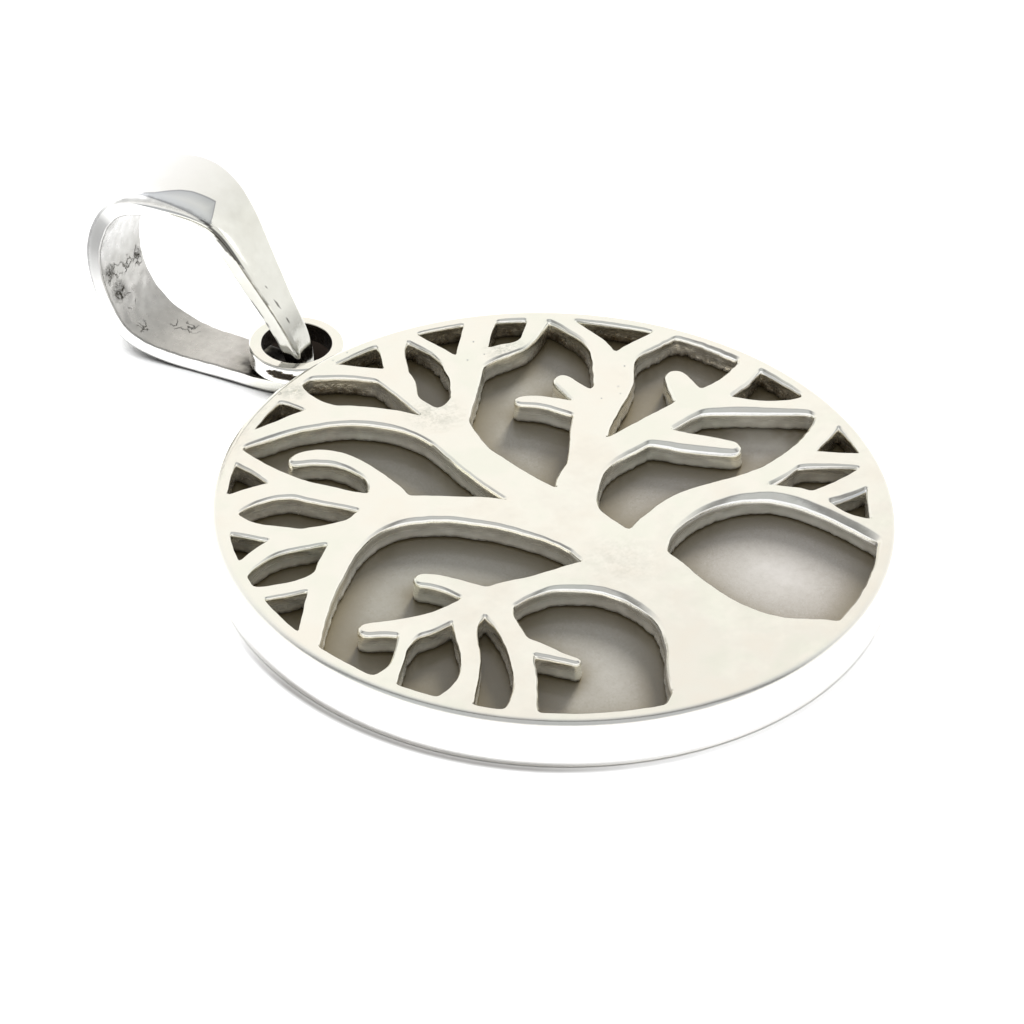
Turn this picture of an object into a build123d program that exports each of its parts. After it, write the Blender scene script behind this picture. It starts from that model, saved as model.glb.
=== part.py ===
from build123d import *
import os

os.makedirs("parts", exist_ok=True)

# The round frame. Millimetres, the tree's crown toward +Y, the face toward +Z, the back at Z = 0.
DISC_R = 15.0
BORDER_W = 0.675
PLATE_T = 1.0
BACK_T = 0.4
SHELL_T = 0.95
WALL_W = 0.4
FIT_GAP = 0.05
TOP_ROUND = 0.35
BACK_ROUND = 0.18
OVERLAP = 0.2

BORDER_INNER_R = DISC_R - BORDER_W
POCKET_R = DISC_R - WALL_W
POCKET_H = SHELL_T + 2 * FIT_GAP
FRAME_H = BACK_T + POCKET_H + PLATE_T
PLATE_Z = FRAME_H - PLATE_T
LIMB_LIMIT_R = (DISC_R - TOP_ROUND + BORDER_INNER_R) / 2

# The eye ring: a short tube with an upright hole, soldered to the rim over the crown. It sinks a
# little into the rim and its top lies lower than the plate's.
EYE_HOLE_R = 1.62
EYE_WALL = 0.58
EYE_OUTER_R = EYE_HOLE_R + EYE_WALL
EYE_SINK = 0.03
EYE_DROP = 0.48
EYE_Y = DISC_R + EYE_OUTER_R - EYE_SINK
EYE_TOP_Z = FRAME_H - EYE_DROP
EYE_H = 0.92
EYE_ROUND = 0.14
NECK_W = 2.3

# The bail: one tapered strip bent to a loop through the eye, turned a little on the ring.
BAIL_T = 0.8
BAIL_TURN = 21.0
BAIL_SHIFT = -0.6
BAIL_LENGTH = 10.0
BAIL_SECTIONS = 30
BAIL_TIP_SINK = 0.3

# Limbs of the tree, a row per section. Columns: across, up, width, each a share of DISC_R.
# A limb whose end is "round" is a free tip, one whose end is "joined" runs into metal.
LIMBS = {
    "trunk": ("joined", (
        (-0.085, -0.985, 0.660), (-0.082, -0.900, 0.592), (-0.082, -0.800, 0.436),
        (-0.056, -0.690, 0.286), (-0.034, -0.560, 0.216), (-0.028, -0.420, 0.232),
        (-0.018, -0.220, 0.195), (0.000, 0.020, 0.220))),
    "left root": ("joined", (
        (-0.180, -0.760, 0.100), (-0.300, -0.875, 0.110), (-0.430, -0.935, 0.110))),
    "leader": ("joined", (
        (0.000, -0.050, 0.160), (-0.019, 0.150, 0.135), (-0.018, 0.300, 0.125),
        (-0.008, 0.420, 0.112), (0.005, 0.520, 0.100))),
    "left bough": ("joined", (
        (-0.030, -0.220, 0.160), (-0.075, -0.060, 0.130), (-0.153, 0.095, 0.120),
        (-0.245, 0.200, 0.105), (-0.360, 0.285, 0.115), (-0.500, 0.290, 0.100),
        (-0.650, 0.225, 0.085), (-0.800, 0.125, 0.072), (-1.000, -0.045, 0.060))),
    "left twig a": ("joined", (
        (-0.700, 0.190, 0.060), (-0.800, 0.195, 0.052), (-0.880, 0.227, 0.048),
        (-0.970, 0.285, 0.070))),
    "left twig b": ("joined", (
        (-0.450, 0.290, 0.090), (-0.560, 0.315, 0.085), (-0.660, 0.362, 0.080),
        (-0.760, 0.385, 0.058), (-0.870, 0.368, 0.050), (-0.960, 0.340, 0.070))),
    "left twig c": ("joined", (
        (-0.652, 0.374, 0.050), (-0.705, 0.435, 0.062), (-0.745, 0.495, 0.062),
        (-0.770, 0.565, 0.095), (-0.800, 0.620, 0.120))),
    "left limb": ("joined", (
        (-0.360, 0.300, 0.100), (-0.420, 0.395, 0.075), (-0.475, 0.490, 0.078),
        (-0.515, 0.580, 0.075), (-0.526, 0.660, 0.058), (-0.535, 0.750, 0.052),
        (-0.545, 0.850, 0.080))),
    "left twig d": ("joined", (
        (-0.515, 0.545, 0.060), (-0.570, 0.590, 0.065), (-0.650, 0.615, 0.070),
        (-0.740, 0.620, 0.100), (-0.800, 0.620, 0.140))),
    "curl": ("round", (
        (-0.360, 0.280, 0.100), (-0.330, 0.370, 0.105), (-0.303, 0.450, 0.056),
        (-0.304, 0.530, 0.052), (-0.330, 0.600, 0.056), (-0.375, 0.645, 0.054),
        (-0.428, 0.664, 0.030))),
    "left crown limb": ("joined", (
        (0.000, 0.360, 0.110), (-0.020, 0.520, 0.095), (-0.068, 0.630, 0.075),
        (-0.145, 0.725, 0.080), (-0.240, 0.786, 0.082), (-0.360, 0.817, 0.055),
        (-0.520, 0.850, 0.070))),
    "left crown twig": ("joined", (
        (-0.130, 0.700, 0.060), (-0.195, 0.800, 0.065), (-0.209, 0.870, 0.068),
        (-0.214, 0.910, 0.088), (-0.215, 0.970, 0.160))),
    "middle limb": ("joined", (
        (0.000, 0.440, 0.100), (0.036, 0.600, 0.052), (0.040, 0.660, 0.048),
        (0.060, 0.720, 0.078), (0.075, 0.800, 0.100))),
    "middle twig left": ("joined", (
        (0.085, 0.770, 0.070), (0.022, 0.860, 0.052), (-0.100, 0.985, 0.080))),
    "middle twig right": ("joined", (
        (0.060, 0.740, 0.070), (0.115, 0.820, 0.070), (0.150, 0.870, 0.070),
        (0.225, 0.970, 0.150))),
    "right crown limb": ("joined", (
        (-0.010, 0.340, 0.110), (0.025, 0.450, 0.110), (0.065, 0.525, 0.120),
        (0.130, 0.550, 0.076), (0.215, 0.622, 0.082), (0.300, 0.693, 0.088),
        (0.400, 0.773, 0.088), (0.530, 0.877, 0.100))),
    "right crown twig": ("joined", (
        (0.205, 0.605, 0.060), (0.255, 0.710, 0.062), (0.268, 0.780, 0.045),
        (0.262, 0.860, 0.036), (0.255, 0.960, 0.060))),
    "right crown sprig": ("joined", (
        (0.240, 0.630, 0.050), (0.330, 0.680, 0.050), (0.420, 0.676, 0.050),
        (0.480, 0.660, 0.038), (0.550, 0.685, 0.045), (0.660, 0.745, 0.060))),
    "right bough": ("joined", (
        (0.000, -0.060, 0.100), (0.140, 0.040, 0.100), (0.270, 0.145, 0.100),
        (0.380, 0.235, 0.115), (0.500, 0.295, 0.110), (0.600, 0.355, 0.100),
        (0.680, 0.405, 0.070), (0.780, 0.412, 0.058), (0.950, 0.440, 0.070))),
    "right bough twig": ("joined", (
        (0.540, 0.330, 0.090), (0.625, 0.430, 0.080), (0.665, 0.520, 0.056),
        (0.672, 0.600, 0.046), (0.672, 0.660, 0.050), (0.670, 0.740, 0.080))),
    "leaf a": ("round", (
        (0.410, 0.250, 0.080), (0.365, 0.345, 0.055), (0.325, 0.410, 0.046),
        (0.285, 0.447, 0.035))),
    "leaf b": ("round", (
        (0.435, 0.260, 0.100), (0.444, 0.360, 0.072), (0.452, 0.438, 0.054))),
    "right arm": ("joined", (
        (0.000, -0.220, 0.130), (0.050, -0.060, 0.100), (0.140, 0.045, 0.120),
        (0.270, 0.090, 0.096), (0.420, 0.091, 0.092), (0.600, 0.095, 0.084),
        (0.720, 0.091, 0.080), (0.840, 0.098, 0.070), (0.980, 0.145, 0.075))),
    "right arm twig": ("joined", (
        (0.640, 0.090, 0.060), (0.745, 0.032, 0.062), (0.800, -0.030, 0.042),
        (0.860, -0.088, 0.045), (0.960, -0.150, 0.100))),
    "leaf c": ("round", (
        (0.685, 0.080, 0.130), (0.701, 0.170, 0.084), (0.717, 0.205, 0.072),
        (0.724, 0.226, 0.062))),
    "leaf d": ("round", (
        (0.460, 0.080, 0.090), (0.500, 0.010, 0.066), (0.548, -0.060, 0.060),
        (0.600, -0.135, 0.046))),
    "low right bough": ("joined", (
        (0.000, -0.460, 0.170), (0.075, -0.300, 0.130), (0.200, -0.255, 0.105),
        (0.320, -0.247, 0.095), (0.450, -0.277, 0.080), (0.580, -0.302, 0.072),
        (0.700, -0.295, 0.066), (0.820, -0.268, 0.062), (0.960, -0.205, 0.100))),
    "low right twig": ("joined", (
        (0.660, -0.290, 0.050), (0.752, -0.350, 0.062), (0.825, -0.425, 0.062),
        (0.900, -0.500, 0.110))),
    "low right drop": ("joined", (
        (0.410, -0.277, 0.066), (0.510, -0.338, 0.048), (0.553, -0.388, 0.040),
        (0.586, -0.440, 0.052), (0.600, -0.530, 0.030), (0.612, -0.620, 0.028),
        (0.635, -0.690, 0.062), (0.635, -0.780, 0.080))),
    "low right sprig": ("joined", (
        (0.592, -0.462, 0.040), (0.650, -0.485, 0.060), (0.740, -0.500, 0.072),
        (0.840, -0.505, 0.090))),
    "lower right web": ("joined", (
        (0.788, -0.531, 0.030), (0.733, -0.604, 0.052), (0.660, -0.683, 0.040))),
    "right web": ("joined", (
        (0.965, -0.090, 0.030), (0.930, -0.175, 0.056), (0.955, -0.250, 0.030))),
    "low left bough": ("joined", (
        (-0.060, -0.470, 0.165), (-0.100, -0.350, 0.150), (-0.192, -0.277, 0.100),
        (-0.290, -0.236, 0.070), (-0.380, -0.215, 0.100), (-0.450, -0.210, 0.100))),
    "low left arm": ("round", (
        (-0.380, -0.210, 0.080), (-0.500, -0.185, 0.075), (-0.600, -0.172, 0.062),
        (-0.680, -0.155, 0.080), (-0.740, -0.113, 0.058), (-0.797, -0.073, 0.044))),
    "leaf e": ("round", (
        (-0.430, -0.210, 0.090), (-0.465, -0.130, 0.070), (-0.485, -0.070, 0.056),
        (-0.525, -0.008, 0.050))),
    "low left twig a": ("joined", (
        (-0.680, -0.160, 0.060), (-0.745, -0.177, 0.040), (-0.800, -0.215, 0.027),
        (-0.860, -0.255, 0.036), (-0.910, -0.275, 0.070), (-0.970, -0.290, 0.100))),
    "low left twig b": ("joined", (
        (-0.500, -0.195, 0.110), (-0.585, -0.250, 0.062), (-0.645, -0.335, 0.052),
        (-0.720, -0.412, 0.050), (-0.810, -0.465, 0.085), (-0.920, -0.500, 0.150))),
    "low left limb": ("joined", (
        (-0.440, -0.205, 0.130), (-0.477, -0.290, 0.068), (-0.515, -0.385, 0.066),
        (-0.565, -0.465, 0.062), (-0.625, -0.540, 0.060), (-0.690, -0.600, 0.075),
        (-0.760, -0.660, 0.140))),
    "leaf g": ("round", (
        (-0.522, -0.375, 0.050), (-0.505, -0.430, 0.055), (-0.482, -0.490, 0.040),
        (-0.451, -0.565, 0.022))),
}

# The bail's outer face, a row per section from the slim tip in the eye, up over the loop and
# back along the surface it lies on. Columns: along from the eye, up from the frame's back,
# half width, each a share of BAIL_LENGTH.
BAIL_PROFILE = (
    (-0.12, 0.11, 0.04), (-0.11, 0.18, 0.04), (-0.01, 0.40, 0.07), (0.14, 0.65, 0.12),
    (0.29, 0.86, 0.17), (0.50, 0.94, 0.23), (0.77, 0.88, 0.22), (0.93, 0.62, 0.20),
    (0.92, 0.31, 0.17), (0.78, 0.09, 0.17), (0.49, 0.00, 0.14), (0.24, 0.00, 0.13),
    (0.03, 0.00, 0.12), (-0.13, 0.00, 0.08),
)


def turned_left(direction):
    return Vector(-direction.Y, direction.X)


def limb_directions(points):
    """The heading at each section, the nearer neighbour counting for more."""
    headings = [(points[1] - points[0]).normalized()]
    for before, here, after in zip(points, points[1:], points[2:]):
        back = here - before
        ahead = after - here
        mixed = back.normalized() * ahead.length + ahead.normalized() * back.length
        headings.append(mixed.normalized())
    headings.append((points[-1] - points[-2]).normalized())
    return headings


def limb_face(end, rows):
    points = [Vector(across * DISC_R, up * DISC_R) for across, up, width in rows]
    halves = [width * DISC_R / 2 for across, up, width in rows]
    headings = limb_directions(points)
    left = [p + turned_left(h) * w for p, h, w in zip(points, headings, halves)]
    right = [p - turned_left(h) * w for p, h, w in zip(points, headings, halves)]
    if end == "round":
        tip = ThreePointArc(left[-1], points[-1] + headings[-1] * halves[-1], right[-1])
    else:
        tip = Line(left[-1], right[-1])
    sides = [Spline(*left), tip, Spline(*reversed(right)), Line(right[0], left[0])]
    return Face(Wire(sides))


def tree_plate():
    faces = [limb_face(end, rows) for end, rows in LIMBS.values()]
    limbs = faces[0].fuse(*faces[1:])
    tree = Sketch() + limbs & Circle(LIMB_LIMIT_R)
    return Pos(0, 0, PLATE_Z) * extrude(tree, PLATE_T, dir=(0, 0, 1))


def tray():
    """The closed back, the rim wall and the narrow border, turned as one profile."""
    with BuildSketch(Plane.XZ) as section:
        with BuildLine():
            Polyline(
                (0, 0), (DISC_R, 0), (DISC_R, FRAME_H), (BORDER_INNER_R, FRAME_H),
                (BORDER_INNER_R, PLATE_Z), (POCKET_R, PLATE_Z), (POCKET_R, BACK_T),
                (0, BACK_T), close=True)
        make_face()
        outer = section.vertices().group_by(Axis.X)[-1].sort_by(Axis.Z)
        fillet(outer[-1], TOP_ROUND)
        outer = section.vertices().group_by(Axis.X)[-1].sort_by(Axis.Z)
        fillet(outer[0], BACK_ROUND)
    return revolve(section.sketch, Axis.Z)


def eye_ring():
    outline = Pos(0, EYE_Y) * Circle(EYE_OUTER_R)
    tube = extrude(outline, EYE_H)
    tube = fillet(tube.edges().filter_by(GeomType.CIRCLE), EYE_ROUND)
    neck_y = DISC_R - WALL_W + OVERLAP / 2
    neck_len = EYE_Y - EYE_HOLE_R / 2 - neck_y
    neck = Pos(0, neck_y + neck_len / 2, EYE_H / 2) * Box(NECK_W, neck_len, EYE_H - 2 * EYE_ROUND)
    hole = Pos(0, EYE_Y) * extrude(Circle(EYE_HOLE_R), EYE_H)
    return Pos(0, 0, EYE_TOP_Z - EYE_H) * (tube + neck - hole)


def bail_place():
    return Pos(BAIL_SHIFT, EYE_Y, 0) * Rot(0, 0, BAIL_TURN)


def bail():
    rows = [Vector(*(share * BAIL_LENGTH for share in row)) for row in BAIL_PROFILE]
    path = Spline(*rows)
    sections = []
    for step in range(BAIL_SECTIONS + 1):
        at = path @ (step / BAIL_SECTIONS)
        run = path % (step / BAIL_SECTIONS)
        heading = Vector(run.X, run.Y).normalized()
        outer = Vector(at.X, at.Y)
        inner = outer - turned_left(heading) * BAIL_T
        corners = [(sign * at.Z, edge.X, edge.Y)
                   for edge, sign in ((outer, -1), (outer, 1), (inner, 1), (inner, -1))]
        sections.append(Wire(Polyline(*corners, close=True)))
    strip = Solid.make_loft(sections)
    tip_along, tip_up, tip_half = (share * BAIL_LENGTH for share in BAIL_PROFILE[0])
    post_h = tip_up - BAIL_T + 2 * BAIL_TIP_SINK
    post = Pos(0, tip_along + BAIL_T / 2, BAIL_T - BAIL_TIP_SINK + post_h / 2)
    joint = post * Box(2 * tip_half, BAIL_T, post_h)
    above_table = Pos(0, 0, BAIL_LENGTH) * Box(3 * BAIL_LENGTH, 3 * BAIL_LENGTH, 2 * BAIL_LENGTH)
    return bail_place() * ((strip + joint) & above_table)


shell_disc = Pos(0, 0, BACK_T + FIT_GAP) * extrude(Circle(POCKET_R - FIT_GAP), SHELL_T)
tree_frame = tray() + tree_plate() + eye_ring()
bail_loop = bail()

export_step(tree_frame, "parts/tree_frame.step")
export_step(shell_disc, "parts/shell_disc.step")
export_step(bail_loop, "parts/bail.step")
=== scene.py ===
import math

import bpy
import numpy as np
from mathutils import Matrix, Vector, noise
from mathutils.geometry import delaunay_2d_cdt


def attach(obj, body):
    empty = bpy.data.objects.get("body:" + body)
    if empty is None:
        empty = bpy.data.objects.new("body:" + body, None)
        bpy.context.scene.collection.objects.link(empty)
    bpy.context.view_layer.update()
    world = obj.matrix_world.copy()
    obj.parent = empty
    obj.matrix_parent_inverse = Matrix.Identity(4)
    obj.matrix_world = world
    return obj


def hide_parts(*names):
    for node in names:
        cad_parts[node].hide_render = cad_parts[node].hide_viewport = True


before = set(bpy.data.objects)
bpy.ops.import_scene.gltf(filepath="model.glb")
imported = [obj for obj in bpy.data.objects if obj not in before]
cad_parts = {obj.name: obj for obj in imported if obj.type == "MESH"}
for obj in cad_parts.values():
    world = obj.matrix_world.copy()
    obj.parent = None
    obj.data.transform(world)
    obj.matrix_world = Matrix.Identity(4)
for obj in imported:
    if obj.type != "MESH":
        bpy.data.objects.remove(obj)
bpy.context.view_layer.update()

MM = 0.001

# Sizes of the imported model, in millimetres. The rim that is shown stays a hair inside the solid one.
DISC_R = 15.0
RIM_R = 14.994
TOP_Z = 2.45
PLATE_Z = 1.45
POCKET_R = 14.6
BACK_T = 0.4
TOP_ROUND = 0.35
BACK_ROUND = 0.18
EYE_Y = 17.17
EYE_HOLE_R = 1.62
EYE_OUTER_R = 2.2
EYE_BOTTOM = 1.05
EYE_TOP = 1.97
BAIL_T = 0.8
BAIL_TURN = 21.0
BAIL_SHIFT = -0.6
BAIL_LENGTH = 10.0

# Roundings that are shown: the corners of the openings, the eye ring's edges and the bail's, in mm.
CORNER_ROUND = 0.13
EYE_ROUND = 0.14
EYE_HOLE_ROUND = 0.07
EYE_LOW_ROUND = 0.015
BAIL_ROUND = 0.24
BAIL_INNER_ROUND = 0.10

# Spacing of the points along the edges of the openings, in millimetres, and how finely the rest is cut.
TRACE_STEP = 0.06
EDGE_STEP = 0.125
WALL_STEPS = 6
RIM_POINTS = 360
EYE_POINTS = 120
NECK_POINTS = 28
NECK_ROWS = 12
BAIL_ROWS = 240
BAIL_FACE_STEPS = 26
BAIL_SIDE_STEPS = 6

# The soldered neck between rim and eye ring, in millimetres: half its width and height, how much
# more they are at the rim, and how deep it sinks into the rim and into the ring.
NECK_HALF_WIDTH, NECK_HALF_HEIGHT = 1.12, 0.33
NECK_FLARE, NECK_HEIGHT_FLARE = 0.45, 0.10
NECK_IN_RIM, NECK_IN_RING = 0.28, 0.25
# The thinnest that an opening and half the bail's width may be, and how far the pits' points stay
# from an edge, in millimetres.
LEAST_OPENING = 0.05
LEAST_HALF = 0.25
PIT_CLEARANCE = 0.04

# The bail's outer face: along from the eye, up from the back, half width, as shares of its length.
BAIL_PROFILE = (
    (-0.12, 0.11, 0.06), (-0.11, 0.18, 0.07), (-0.01, 0.40, 0.09), (0.14, 0.65, 0.13),
    (0.29, 0.86, 0.17), (0.50, 0.94, 0.23), (0.77, 0.88, 0.22), (0.93, 0.62, 0.20),
    (0.92, 0.31, 0.17), (0.78, 0.09, 0.17), (0.49, 0.00, 0.14), (0.24, 0.00, 0.13),
    (0.03, 0.00, 0.12), (-0.13, 0.00, 0.08),
)

# Pits and dents in the plate's polished top: across and up as shares of DISC_R, radius and depth in mm.
PITS = (
    (0.30, 0.70, 0.10, 0.05), (0.38, 0.76, 0.08, 0.05), (0.36, 0.69, 0.07, 0.04),
    (0.55, 0.30, 0.13, 0.05), (0.53, 0.27, 0.09, 0.04), (0.64, 0.365, 0.09, 0.05),
    (0.47, 0.29, 0.07, 0.04), (-0.01, 0.966, 0.10, 0.04), (0.05, 0.969, 0.08, 0.04),
    (-0.20, 0.93, 0.22, 0.03), (-0.245, 0.945, 0.12, 0.04),
)
# Rings of points in and round a pit: share of its radius, how many points.
PIT_RINGS = ((0.0, 1), (0.35, 8), (0.7, 12), (1.0, 16), (1.5, 18))

# The shoulder round an opening, a row per ring: mm into the opening where it is little worn and
# where it is much worn, mm below the top for both, and how far its shading leans, in degrees.
SHOULDER = (
    ((-0.08, -0.14), (0.00, 0.00), 0), ((-0.03, -0.02), (0.02, 0.03), 40),
    ((0.01, 0.19), (0.05, 0.23), 46), ((0.025, 0.21), (0.08, 0.26), 66),
    ((0.055, 0.275), (0.17, 0.40), 72), ((0.06, 0.28), (0.20, 0.46), 82),
)
# The shoulder's rings that are polished brightest.
LIP_RINGS = (3, 4)

# Where the shoulder is worn broad: across and up as shares of DISC_R, mm across, how much.
WORN_SPOTS = (
    (0.40, -0.42, 2.2, 0.8), (0.56, -0.50, 2.4, 0.8), (0.62, -0.68, 2.2, 0.7), (0.49, -0.05, 2.6, 0.35),
    (0.76, -0.03, 2.8, 0.40), (-0.20, -0.45, 3.0, 0.45), (0.91, 0.15, 2.5, 0.15), (-0.36, 0.20, 2.5, 0.15),
)
# Places where an opening's wall is left rough, in the same columns.
ROUGH_SPOTS = (
    (0.84, 0.33, 1.3, 3.0), (0.90, 0.17, 1.3, 3.0), (0.88, 0.02, 0.9, 2.0), (0.81, -0.22, 0.7, 2.0),
    (0.20, 0.73, 0.8, 3.5), (0.13, 0.62, 0.6, 2.0),
)
# Where the walls' tarnish and painted shade are darker than elsewhere, or lighter, in the same columns.
WALL_TONES = (
    (0.59, 0.59, 2.2, 0.5), (0.64, 0.58, 1.6, 0.3), (-0.06, 0.875, 1.5, 0.3), (0.75, -0.42, 1.2, -0.5),
    (0.06, 0.60, 1.5, 0.3), (0.48, -0.42, 2.2, -0.35), (0.60, -0.58, 2.0, -0.3), (0.323, 0.38, 0.8, -0.7),
    (-0.61, 0.17, 1.6, -0.3),
)
# Rough places on the plate's top, in the same columns.
PLATE_SKIN = (
    (0.43, 0.67, 1.2, 0.6), (0.04, 0.56, 1.6, 0.55), (-0.04, -0.32, 2.2, 0.25), (0.30, -0.10, 1.8, 0.2),
    (-0.208, 0.921, 0.8, 0.75),
)
# Painted reflections: paler places of the shell, in the same columns.
SHELL_GLEAM = ((0.76, -0.10, 1.7, 0.22), (0.80, -0.20, 1.2, 0.15))

# A gap in the eye ring's solder: degrees round from +X and half its length, height and half its height.
SOLDER_GAP = (211.5, 20, 1.56, 0.19)

# Tarnish inside the bail: share of its length from the tip and how far it spreads there, then
# mm across from its middle and how far it spreads across.
BAIL_STAINS = (
    (0.642, 0.014, -0.85, 0.42), (0.600, 0.010, -1.15, 0.30), (0.611, 0.008, 1.25, 0.25),
)
# Wrinkles of the unpolished inside, in the same columns.
BAIL_WRINKLES = (
    (0.606, 0.022, -1.00, 0.50), (0.615, 0.020, 1.15, 0.40), (0.611, 0.016, 0.10, 0.60),
    (0.668, 0.014, -0.50, 0.45), (0.784, 0.018, 0.70, 0.40), (0.765, 0.014, 0.50, 0.35),
    (0.72, 0.012, -0.9, 0.4),
)
# Small pits on the outer face near the eye, in the same columns.
BAIL_DOTS = (
    (0.118, 0.007, -0.40, 0.07), (0.124, 0.004, -0.46, 0.06), (0.089, 0.006, -0.33, 0.06),
    (0.150, 0.004, -0.55, 0.05),
)
# The grey reflection on the bail's outer face: share along, how far in it reaches from the middle, mm.
BAIL_FACET = (
    (0.278, -1.5), (0.286, -0.9), (0.296, -0.2), (0.332, -0.45), (0.347, -0.7), (0.374, -1.4),
    (0.42, -1.9), (0.45, -2.1),
)
# How bright the bail's silver is painted, as painted shade: share along, tone. One list for the side that
# faces the camera, one for the outer face, and one tone for the far side.
NEAR_SIDE_TONES = (
    (0.22, 0.70), (0.26, 1.0), (0.44, 1.0), (0.48, 0.36), (0.54, 0.33), (0.58, 0.45), (0.70, 1.0),
)
OUTER_FACE_TONES = ((0.07, 0.50), (0.11, 0.93), (0.24, 0.95), (0.27, 1.0))
FAR_SIDE_TONE = 0.44
# Past this share of the half width a point is on a side of the bail. Shares of its thickness tell
# how deep its outer face goes and where its inner part begins.
SIDE_FROM = 0.93
OUTER_PART = 0.3
INNER_PART = 0.6
INNER_FACE = 0.9

# The bail's tone where the photo shows it black.
# Painted shade in and under the eye ring is this black too, as are the bail's dark marks.
DARK = (0.02, 0.017, 0.014)

# Where the shadows of the eye hole's lower and upper rim are centred on the table, in millimetres.
EYE_SHADES = ((0.98, 18.31), (1.84, 19.31))
# How strong the shadow at the disc's foot is: a direction, in degrees round from +X, and the
# strength by how far the place lies that way, as a share of DISC_R.
FOOT_SHADES = (
    (232, ((0.25, 0.0), (0.45, 0.60), (0.60, 1.0))),
    (197, ((0.0, 0.30), (0.55, 0.35), (0.75, 0.60), (0.90, 1.0))),
)

# The studio's tone from the camera's side, 0, to the far side, 1, and the band above the horizon.
STUDIO_TONES = (
    (0.10, (0.50, 0.51, 0.53)), (0.30, (0.58, 0.60, 0.63)), (0.37, (0.26, 0.265, 0.28)),
    (0.44, (0.30, 0.305, 0.31)), (0.52, (0.62, 0.63, 0.65)), (0.70, (0.93, 0.93, 0.92)),
    (0.90, (1.01, 1.0, 0.98)),
)
HORIZON_TONE = (1.06, 1.06, 1.05)

# The photo's camera, fitted to the disc's outline: its way, its right, its roll in degrees, its
# distance from the disc's top in mm and its lens. The last two are the photo's width and the place
# of the top's middle in it, in pixels.
VIEW_WAY = (0.5658, 0.5658, -0.5999)
VIEW_RIGHT = (0.7071, -0.7071, 0)
VIEW_ROLL = 2.40
VIEW_DISTANCE = 200
VIEW_LENS = 160.92
PHOTO_SIZE = 1024
DISC_IN_PHOTO = (554.7, 503.8)


def clamp(value, low=0.0, high=1.0):
    return min(high, max(low, value))


def bell(value, middle, width):
    """1 at the middle, and less the farther from it, over about `width` to each side."""
    return math.exp(-((value - middle) / width) ** 2)


def lump(x, y, z, size, seed=0.0):
    """Smooth noise from -1 to 1 whose bumps are about `size` mm across."""
    return noise.noise(Vector((x / size + seed, y / size - seed, z / size + 2 * seed)))


def amount_at(spots, x, y):
    """What the spots of a table add at a place of the disc."""
    return sum(much * math.exp(-((x - across * DISC_R) ** 2 + (y - up * DISC_R) ** 2) / size ** 2)
               for across, up, size, much in spots)


def read_table(table, share):
    """The value at a share, blended between the table's rows."""
    return np.interp(share, *zip(*table))


def arc(cx, cz, radius, start, steps=6):
    """A quarter round, turning left from `start` degrees."""
    angles = [math.radians(start + 90 * k / steps) for k in range(steps + 1)]
    return [(cx + radius * math.cos(a), cz + radius * math.sin(a)) for a in angles]


def add_band(faces, first, count, rows, flip=False):
    """Four-sided faces between closed rings of `count` vertices, one row of faces per gap."""
    for j in range(rows):
        for i in range(count):
            a = first + j * count + i
            b = first + j * count + (i + 1) % count
            faces.append((b, a, a + count, b + count) if flip else (a, b, b + count, a + count))


def new_object(name, verts, faces):
    mesh = bpy.data.meshes.new(name)
    mesh.from_pydata([tuple(c * MM for c in v) for v in verts], [], faces)
    mesh.validate()
    mesh.update()
    mesh.polygons.foreach_set("use_smooth", [True] * len(mesh.polygons))
    obj = bpy.data.objects.new(name, mesh)
    bpy.context.scene.collection.objects.link(obj)
    return obj


def write_attribute(obj, name, values):
    """One value per vertex. The vertices past the end of the list get 0."""
    missing = len(obj.data.vertices) - len(values)
    attribute = obj.data.attributes.new(name, "FLOAT", "POINT")
    attribute.data.foreach_set("value", np.pad(np.array(values, np.float32), (0, missing)))


# The tree frame

def top_loops(node):
    """Edges of the flat top of the CAD plate, as closed loops with the metal on their left."""
    mesh = node.data
    flat = {}
    names = {}
    for v in mesh.vertices:
        if abs(v.co.z - TOP_Z * MM) < 2e-6:
            key = (round(v.co.x * 1e7), round(v.co.y * 1e7))
            flat[v.index] = names.setdefault(key, len(names))
    where = [(x * 1e-4, y * 1e-4) for x, y in names]
    directed = set()
    for p in mesh.polygons:
        if all(i in flat for i in p.vertices) and p.normal.z > 0.5:
            ring = [flat[i] for i in p.vertices]
            directed.update(zip(ring, ring[1:] + ring[:1]))
    follow = {a: b for a, b in directed if (b, a) not in directed}
    loops = []
    while follow:
        start, at = next(iter(follow.items()))
        del follow[start]
        loop = [start]
        while at != start and at in follow:
            loop.append(at)
            at = follow.pop(at)
        loops.append(np.array([where[i] for i in loop]))
    return loops


def even(points, step):
    """The closed loop with its points evenly spaced, about `step` apart."""
    closed = np.vstack([points, points[:1]])
    run = np.concatenate([[0], np.cumsum(np.hypot(*np.diff(closed, axis=0).T))])
    count = max(18, int(run[-1] / step))
    at = np.arange(count) * run[-1] / count
    return np.column_stack([np.interp(at, run, closed[:, k]) for k in (0, 1)])


def softened(points, sigma):
    """The loop with its corners rounded, as sawing and polishing leave them."""
    closed = np.vstack([points, points[:1]])
    length = np.hypot(*np.diff(closed, axis=0).T).sum()
    z = np.fft.fft(points[:, 0] + 1j * points[:, 1])
    turns = np.fft.fftfreq(len(points), 1 / len(points))
    z = np.fft.ifft(z * np.exp(-0.5 * (2 * math.pi * turns * sigma / length) ** 2))
    return np.column_stack([z.real, z.imag])


def loop_normals(points):
    """Unit normals pointing into the opening."""
    run = np.roll(points, -1, 0) - np.roll(points, 1, 0)
    run /= np.maximum(np.hypot(*run.T), 1e-9)[:, None]
    return np.column_stack([run[:, 1], -run[:, 0]])


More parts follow.
